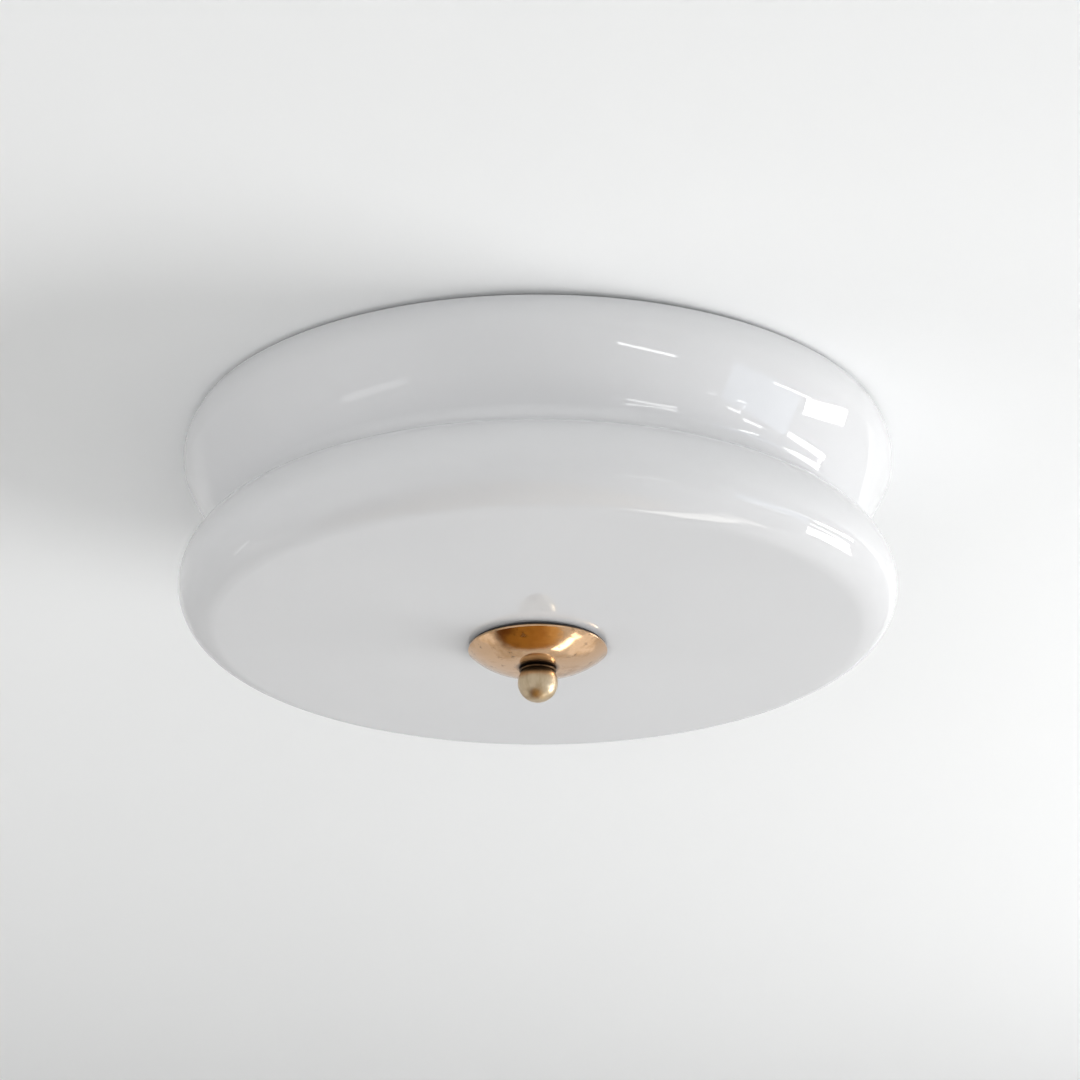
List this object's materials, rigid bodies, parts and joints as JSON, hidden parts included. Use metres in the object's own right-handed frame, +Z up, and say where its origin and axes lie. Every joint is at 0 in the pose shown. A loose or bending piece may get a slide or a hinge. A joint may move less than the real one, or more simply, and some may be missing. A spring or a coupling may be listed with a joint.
{
  "type": "ceiling light",
  "caption": "Flush ceiling light: two-tier opal glass shade on a centre rod, brass dish and ball knob, pan, crossbar and lampholders.",
  "frame": {"origin": "on the ceiling plane, on the centre line of the shade, at the middle of the crossbar's upper face", "axes": "+Z up into the ceiling, +X along the crossbar and the two bulbs, +Y away from the viewer in the picture"},
  "size_m": [0.3499, 0.35, 0.1343],
  "materials": {
    "opal_glass": "gloss",
    "aged_brass": "polished, aged",
    "satin_brass": "satin, aged",
    "white_enamel": "satin",
    "zinc_steel": "zinc plated",
    "porcelain": "gloss",
    "copper_shell": "bright",
    "contact_brass": "bright",
    "bulb_glass": "frosted",
    "bulb_cap_metal": "bright",
    "black_glass": "gloss",
    "black_lead": "matte",
    "white_lead": "matte",
    "connector_plastic": "matte",
    "bushing_plastic": "matte",
    "gasket_rubber": "matte",
    "earth_green": "plated, green"
  },
  "bodies": {
    "ceiling_mount": {"crossbar": "zinc_steel", "ceiling_pan": "white_enamel", "pan_screws": "zinc_steel", "pan_nuts": "satin_brass", "earth_screw": "earth_green", "centre_rod": "zinc_steel", "rod_lock_nuts": "zinc_steel", "rod_lock_washer": "zinc_steel", "lampholder_bracket": "white_enamel", "lead_bushings": "bushing_plastic", "live_leads": "black_lead", "neutral_leads": "white_lead", "live_connector": "connector_plastic", "neutral_connector": "connector_plastic", "stop_nut": "zinc_steel", "stop_washer": "zinc_steel", "inner_gasket": "gasket_rubber", "lampholder_1_body": "porcelain", "lampholder_1_shell": "copper_shell", "lampholder_1_contact": "contact_brass", "lampholder_1_screws": "zinc_steel", "lampholder_2_body": "porcelain", "lampholder_2_shell": "copper_shell", "lampholder_2_contact": "contact_brass", "lampholder_2_screws": "zinc_steel"},
    "shade": {"glass_shade": "opal_glass"},
    "dish": {"brass_dish": "aged_brass", "rim_gasket": "gasket_rubber"},
    "collar": {"knob_collar": "aged_brass"},
    "knob": {"ball_knob": "satin_brass"},
    "bulb_1_tip": {"bulb_1_insulator": "black_glass"},
    "bulb_1": {"bulb_1_cap": "bulb_cap_metal", "bulb_1_globe": "bulb_glass"},
    "bulb_2_tip": {"bulb_2_insulator": "black_glass"},
    "bulb_2": {"bulb_2_cap": "bulb_cap_metal", "bulb_2_globe": "bulb_glass"}
  },
  "joints": [
    {"name": "shade_drop", "type": "slide", "parent": "ceiling_mount", "child": "shade", "axis": [0, 0, -1], "range_m": [0, 0.15]},
    {"name": "dish_drop", "type": "slide", "parent": "shade", "child": "dish", "axis": [0, 0, -1], "range_m": [0, 0.03]},
    {"name": "knob_drop", "type": "slide", "parent": "dish", "child": "collar", "axis": [0, 0, -1], "range_m": [0, 0.008]},
    {"name": "knob_turn", "type": "hinge", "parent": "collar", "child": "knob", "pos_m": [0, 0, -0.125], "axis": [0, 0, -1], "range_deg": [0, 2880]},
    {"name": "bulb_1_travel", "type": "slide", "parent": "ceiling_mount", "child": "bulb_1_tip", "axis": [1, 0, 0], "range_m": [0, 0.01452]},
    {"name": "bulb_1_turn", "type": "hinge", "parent": "bulb_1_tip", "child": "bulb_1", "pos_m": [0.05, 0, -0.06], "axis": [1, 0, 0], "range_deg": [0, 1440]},
    {"name": "bulb_2_travel", "type": "slide", "parent": "ceiling_mount", "child": "bulb_2_tip", "axis": [-1, 0, 0], "range_m": [0, 0.01452]},
    {"name": "bulb_2_turn", "type": "hinge", "parent": "bulb_2_tip", "child": "bulb_2", "pos_m": [-0.05, 0, -0.06], "axis": [-1, 0, 0], "range_deg": [0, 1440]}
  ],
  "couplings": [
    {"joint": "knob_turn", "follows": "knob_drop", "rad_per_m": 6282.6},
    {"joint": "bulb_1_travel", "follows": "bulb_1_turn", "m_per_rad": 0.00057752},
    {"joint": "bulb_2_travel", "follows": "bulb_2_turn", "m_per_rad": 0.00057752}
  ]
}
